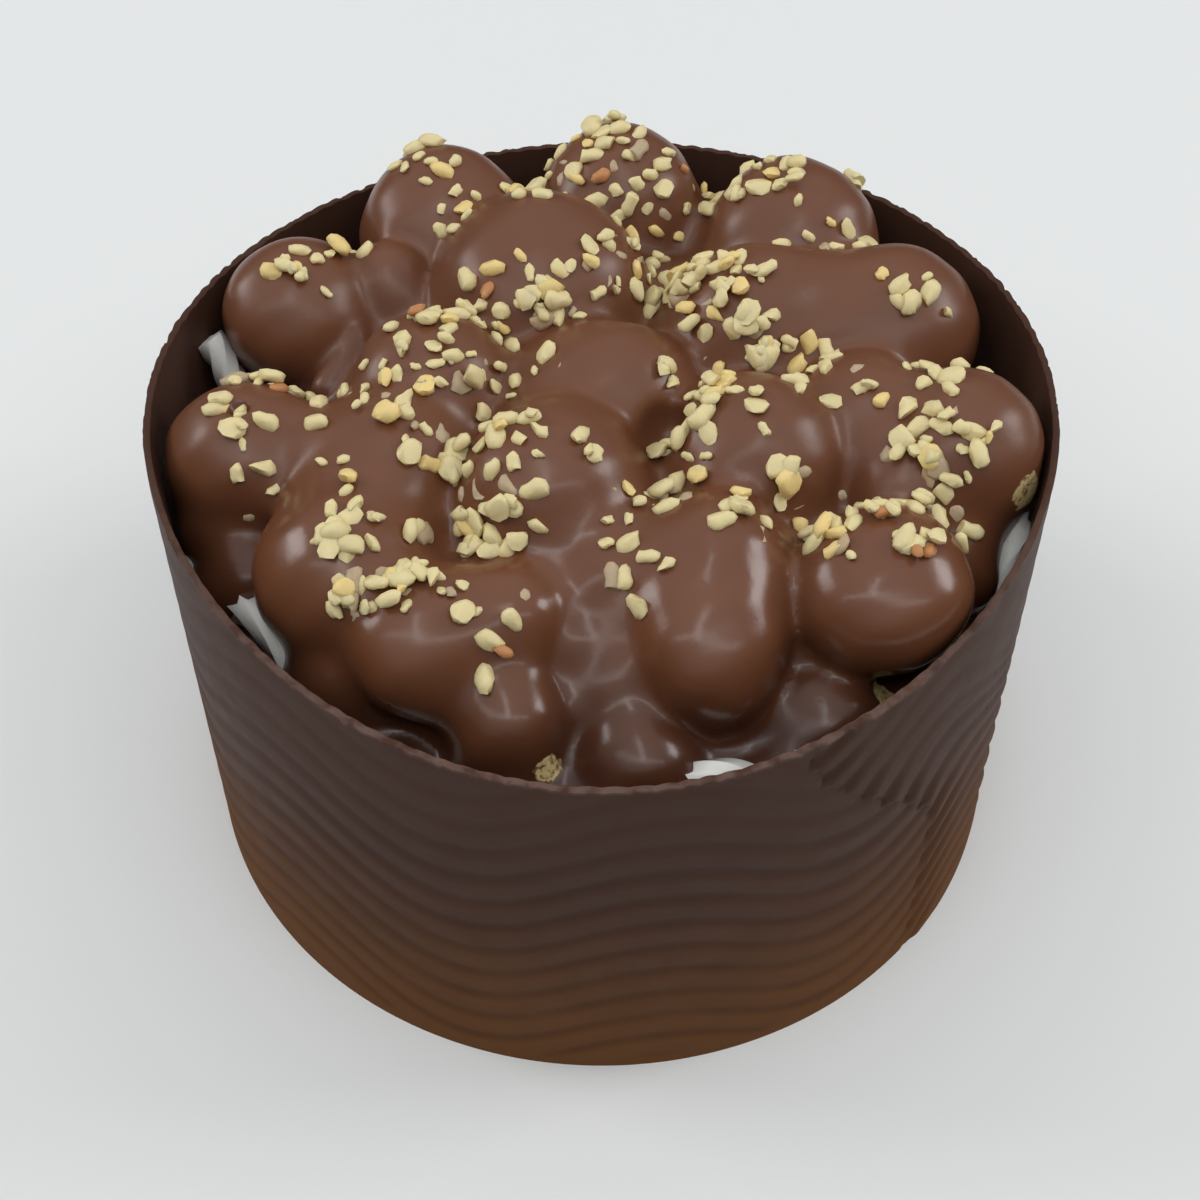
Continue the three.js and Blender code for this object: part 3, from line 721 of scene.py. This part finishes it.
# How high a nut's middle lies over the chocolate: a dry one, a filmed one, and more on each nut under it
NUT_LIFT = {"dry": 0.35, "filmed": -1.1, "on another": 0.9}
NUTS_UNDER = 2
NUT_LEAN = 0.4  # the most that a nut leans over on the skin, in radians
FILMED_SHARE = 0.16
TOAST_SHARES = {0.0: 0.86, 0.5: 0.125, 1.0: 0.015}  # how toasted, and the share of the nuts
BROKEN_EDGE = math.radians(62)
CRUMB = {"waist": 0.35, "waist place": 0.2, "waist width": 0.16, "bend": 0.5, "lump": 0.09, "lump turns": 6}
NUT_PALE = (0.75, 0.64, 0.34, 1)
NUT_GOLDEN = (0.82, 0.62, 0.25, 1)
NUT_TOASTED = (0.50, 0.22, 0.08, 1)
NUT_FILMED = (0.40, 0.29, 0.20, 1)

dice = random.Random(11)


def crumb(number):
    """A chip of nut, a unit long: a lumpy pebble with a waist and with flat broken sides."""
    shape = bmesh.new()
    bmesh.ops.create_icosphere(shape, subdivisions=2, radius=0.5)
    waist = dice.uniform(0.0, CRUMB["waist"])
    waist_place = dice.uniform(-CRUMB["waist place"], CRUMB["waist place"])
    bend = dice.uniform(-CRUMB["bend"], CRUMB["bend"])
    lumps = []
    for _ in range(3):
        way = Vector([dice.gauss(0, 1) for _ in range(3)])
        lumps.append((way * CRUMB["lump turns"], dice.uniform(0, 6)))
    lengths = Vector((1, dice.uniform(0.6, 0.9), dice.uniform(0.45, 0.65)))
    for corner in shape.verts:
        swell = 1 + CRUMB["lump"] * sum(math.sin(corner.co @ way + phase) for way, phase in lumps)
        x, y, z = corner.co * swell
        narrow = 1 - waist * math.exp(-(((x - waist_place) / CRUMB["waist width"]) ** 2))
        corner.co = Vector((x, y * narrow + bend * (x * x - 0.12), z * narrow)) * lengths
    for _ in range(dice.choice((1, 2, 3))):
        way = Vector([dice.gauss(0, 1) for _ in range(3)]).normalized()
        reach = max(corner.co @ way for corner in shape.verts) * dice.uniform(0.5, 0.85)
        faces = shape.verts[:] + shape.edges[:] + shape.faces[:]
        cut = bmesh.ops.bisect_plane(shape, geom=faces, plane_co=way * reach, plane_no=way, clear_outer=True)
        rim = [edge for edge in cut["geom_cut"] if isinstance(edge, bmesh.types.BMEdge)]
        bmesh.ops.contextual_create(shape, geom=rim)
    bmesh.ops.remove_doubles(shape, verts=shape.verts, dist=0.03)
    bmesh.ops.triangulate(shape, faces=shape.faces)
    bmesh.ops.recalc_face_normals(shape, faces=shape.faces)
    mesh = bpy.data.meshes.new(f"crumb {number}")
    shape.to_mesh(mesh)
    shape.free()
    return bpy.data.objects.new(mesh.name, mesh)


def strewn():
    """Where each nut lies, which way is up there, how toasted it is and how deep it is filmed."""
    surface = BVHTree.FromPolygons([tuple(corner) for corner in glaze_corners], glaze_faces.tolist())
    lying = []
    for x1, y1, x2, y2, spread, count in STREWINGS:
        for _ in range(round(NUTS_MORE * count)):
            for _ in range(NUT_TRIES):
                share = dice.random()
                off = NUTS_WIDER * spread * math.sqrt(dice.random())
                turn = dice.uniform(0, 2 * math.pi)
                x = x1 + (x2 - x1) * share + off * math.cos(turn)
                y = y1 + (y2 - y1) * share + off * math.sin(turn)
                place, normal, _, _ = surface.ray_cast(Vector((x, y, DROP_HEIGHT)), Vector((0, 0, -1)))
                close = [nut for nut in lying if place and (nut[0] - place).length < NUT_APART]
                if place and not close:
                    break
            if place:
                film = 1.0 if dice.random() < FILMED_SHARE else 0.0
                toast = dice.choices(list(TOAST_SHARES), list(TOAST_SHARES.values()))[0]
                lift = NUT_LIFT["filmed"] if film else NUT_LIFT["dry"]
                lift += NUT_LIFT["on another"] * min(len(close), NUTS_UNDER)
                lying.append((place + normal * lift, normal, toast, film))
    return lying


def nut_points():
    """The strewn nuts as loose points that carry their lean, toast and film."""
    lying = strewn()
    mesh = bpy.data.meshes.new("nut places")
    mesh.from_pydata([nut[0] * MM for nut in lying], [], [])
    lean = mesh.attributes.new("lean", "FLOAT_VECTOR", "POINT")
    lean.data.foreach_set("vector", np.array([nut[1] for nut in lying]).ravel())
    for column, label in ((2, "toast"), (3, "film")):
        attribute = mesh.attributes.new(label, "FLOAT", "POINT")
        attribute.data.foreach_set("value", [nut[column] for nut in lying])
    return mesh


def nut_flesh():
    """Matt pale flesh, golden in patches, browner where it is toasted, and dull where chocolate films it."""
    material, start, shader = new_material("chopped hazelnut", Roughness=0.5, Subsurface_Weight=0.15)
    shader.inputs["Subsurface Radius"].default_value = (0.002, 0.0015, 0.001)
    shader.inputs["Subsurface Scale"].default_value = 1.0
    place = start.node("ShaderNodeTexCoord", {}, {}, "Object")
    toast = start.node("ShaderNodeAttribute", {"attribute_name": "toast"}, {}, "Fac")
    film = start.node("ShaderNodeAttribute", {"attribute_name": "film"}, {}, "Fac")
    patch = noise(place, 420.0)
    golden = (toast * 2 + (patch - 0.5) * 1.6).between(0.0, 1.0)
    base = colour_mix(golden, NUT_PALE, NUT_GOLDEN)
    base = colour_mix((toast * 2 - 1 + (patch - 0.5)).between(0.2, 1.0), base, NUT_TOASTED)
    base = colour_mix(film * 0.8, base, NUT_FILMED)
    feed(base, shader, "Base Color")
    feed(bump(noise(place, 1400.0), 0.2, 0.0003), shader, "Normal")
    return material


def nut_tree(crumbs):
    """One of the crumbs on each point, turned at random, tilted a little and of a random length."""
    start, size = named_tree("strewn nuts", NUT_SIZES)
    sockets = {0: crumbs, "Separate Children": True, "Reset Children": True}
    kinds = start.node("GeometryNodeCollectionInfo", {}, sockets)
    lean = start.node("GeometryNodeInputNamedAttribute", {"data_type": "FLOAT_VECTOR"}, {"Name": "lean"})
    tilt = start.node("FunctionNodeAlignRotationToVector", {"axis": "Z"}, {"Vector": lean})
    spin = start.node(
        "FunctionNodeRandomValue", {"data_type": "FLOAT_VECTOR"},
        {0: (-NUT_LEAN, -NUT_LEAN, 0.0), 1: (NUT_LEAN, NUT_LEAN, 2 * math.pi), "Seed": size["Seed"]},
    )
    turned = start.node(
        "FunctionNodeRotateRotation", {"rotation_space": "LOCAL"}, {"Rotation": tilt, "Rotate By": spin},
    )
    length = start.node(
        "FunctionNodeRandomValue", {"data_type": "FLOAT"},
        {2: size["Shortest"], 3: size["Longest"], "Seed": size["Seed"] + 1}, 1,
    )
    kind = start.node(
        "FunctionNodeRandomValue", {"data_type": "INT"},
        {4: 0, 5: NUT_KINDS - 1, "Seed": size["Seed"] + 2}, 2,
    )
    sockets = {
        "Points": start, "Instance": kinds, "Pick Instance": True, "Instance Index": kind,
        "Rotation": turned, "Scale": length,
    }
    return start, start.node("GeometryNodeInstanceOnPoints", {}, sockets)


crumbs = bpy.data.collections.new("crumb kinds")
for number in range(NUT_KINDS):
    crumbs.objects.link(crumb(number))
start, nut_shape = nut_tree(crumbs)
nuts = grown("chopped_hazelnuts", start, NUT_SIZES, nut_shape, nut_flesh(), nut_points())
nuts.data.shade_smooth()
nuts.data.set_sharp_from_angle(angle=BROKEN_EDGE)
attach(nuts, "root")
